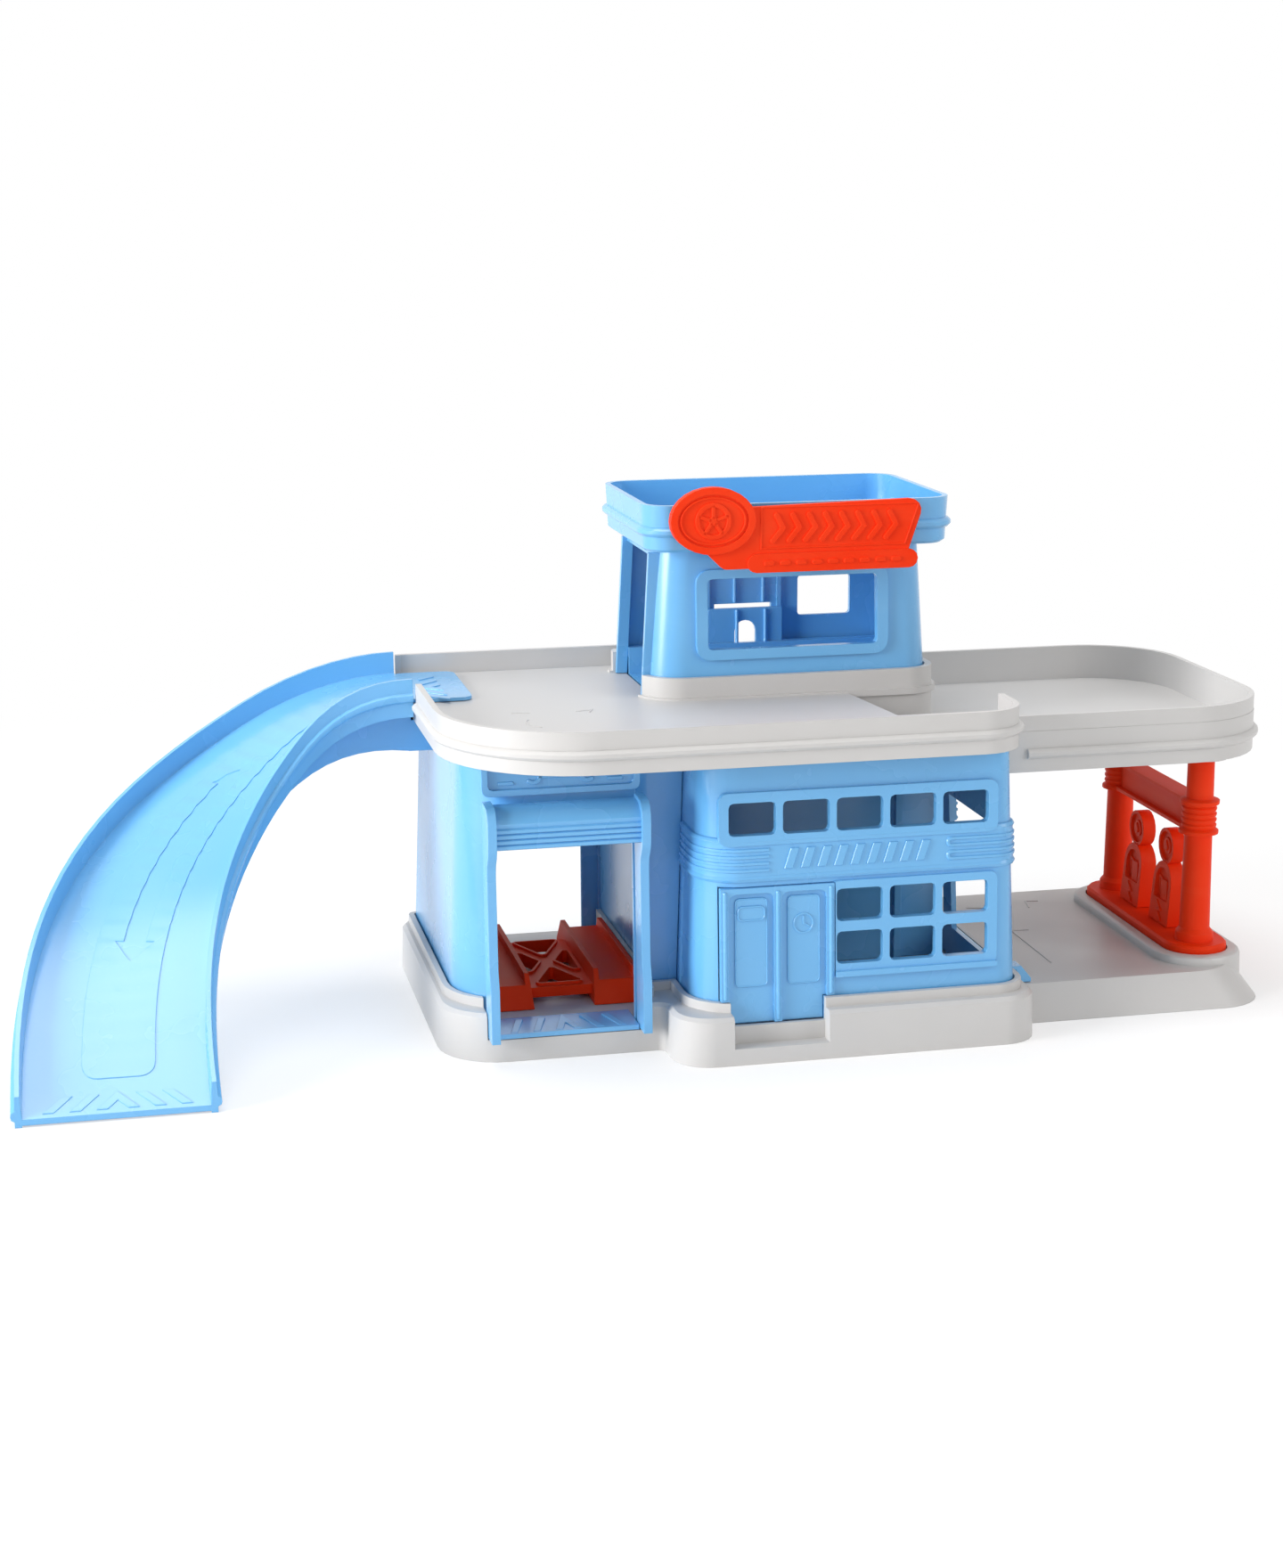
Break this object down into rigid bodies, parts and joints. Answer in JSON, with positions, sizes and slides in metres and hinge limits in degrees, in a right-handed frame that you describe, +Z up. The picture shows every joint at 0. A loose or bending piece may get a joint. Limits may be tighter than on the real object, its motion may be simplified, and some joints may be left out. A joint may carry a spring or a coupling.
{
  "type": "toy parking garage",
  "caption": "Play garage of moulded shells: car bay, windowed station, lift tower with roof pad, curved ramp and fuel stop under a set-back deck.",
  "frame": {"origin": "on the ground, at the middle of the toy's bounding box in plan", "axes": "+X from the ramp towards the fuel stop, +Y from the shop fronts to the back, +Z up"},
  "size_m": [0.5403, 0.1933, 0.2266],
  "materials": {
    "shell_blue": "satin moulded HDPE, light blue",
    "base_grey": "satin moulded HDPE, warm light grey",
    "trim_red": "satin moulded HDPE, orange red"
  },
  "bodies": {
    "garage": {"base_plinth": "base_grey", "forecourt_tray": "base_grey", "forecourt_clip": "shell_blue", "bay_walls": "shell_blue", "bay_door_frame": "shell_blue", "bay_sill_plate": "shell_blue", "service_rack": "trim_red", "station_walls": "shell_blue", "station_doors": "shell_blue", "shaft_front_panel": "shell_blue", "shaft_rear_panel": "shell_blue", "upper_deck": "base_grey", "tower_housing": "shell_blue", "helipad_tray": "shell_blue", "roof_sign": "trim_red", "car_ramp": "shell_blue", "fuel_frame": "trim_red", "fuel_pump_front": "trim_red", "fuel_pump_rear": "trim_red"},
    "elevator": {"elevator_platform": "shell_blue", "elevator_back_plate": "shell_blue"}
  },
  "joints": [
    {"name": "elevator_slide", "type": "slide", "parent": "garage", "child": "elevator", "axis": [0, 0, 1], "range_m": [-0.1157, 0]}
  ]
}
